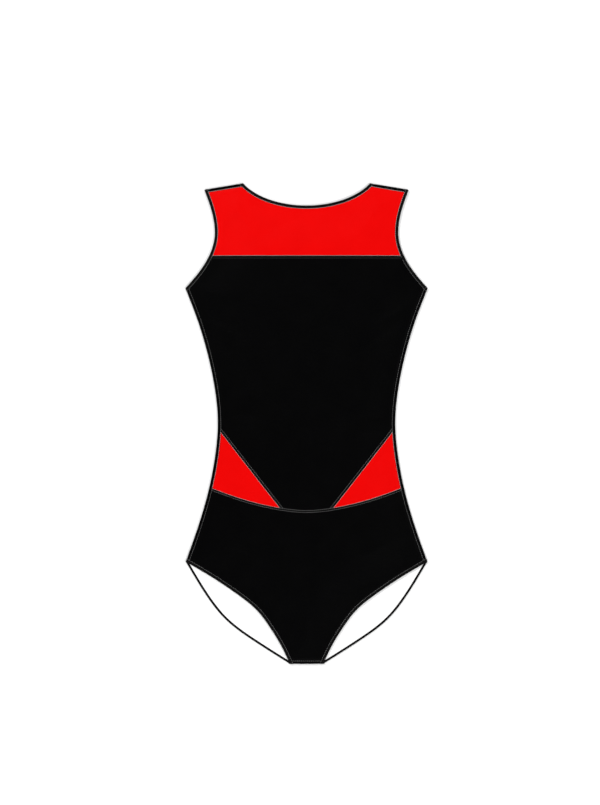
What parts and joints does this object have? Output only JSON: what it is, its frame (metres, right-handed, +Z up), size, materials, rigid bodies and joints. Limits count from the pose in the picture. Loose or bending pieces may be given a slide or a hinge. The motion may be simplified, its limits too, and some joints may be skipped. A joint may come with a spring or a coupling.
{
  "type": "leotard laid flat",
  "caption": "Sleeveless leotard lying flat, front up, with a contrast yoke, slanting side insets, bowed hip seam, high-cut legs and bound edges.",
  "frame": {"origin": "middle of the outline, on the surface that the garment lies on", "axes": "+Y towards the neck, +X towards the wearer's left, +Z up, out of the front"},
  "size_m": [0.3332, 0.6616, 0.0052],
  "materials": {
    "black_cloth": "smooth stretch knit with a soft sheen, black outside and white inside",
    "red_cloth": "smooth stretch knit with a soft sheen, red outside and white inside",
    "black_binding": "folded elastic binding in black knit, topstitched in grey"
  },
  "bodies": {
    "root": {"back_panel": "black_cloth", "front_yoke": "red_cloth", "front_body": "black_cloth", "side_inset_left": "red_cloth", "side_inset_right": "red_cloth", "front_brief": "black_cloth", "neck_binding": "black_binding", "armhole_binding_left": "black_binding", "armhole_binding_right": "black_binding", "leg_binding_left": "black_binding", "leg_binding_right": "black_binding"}
  },
  "joints": []
}
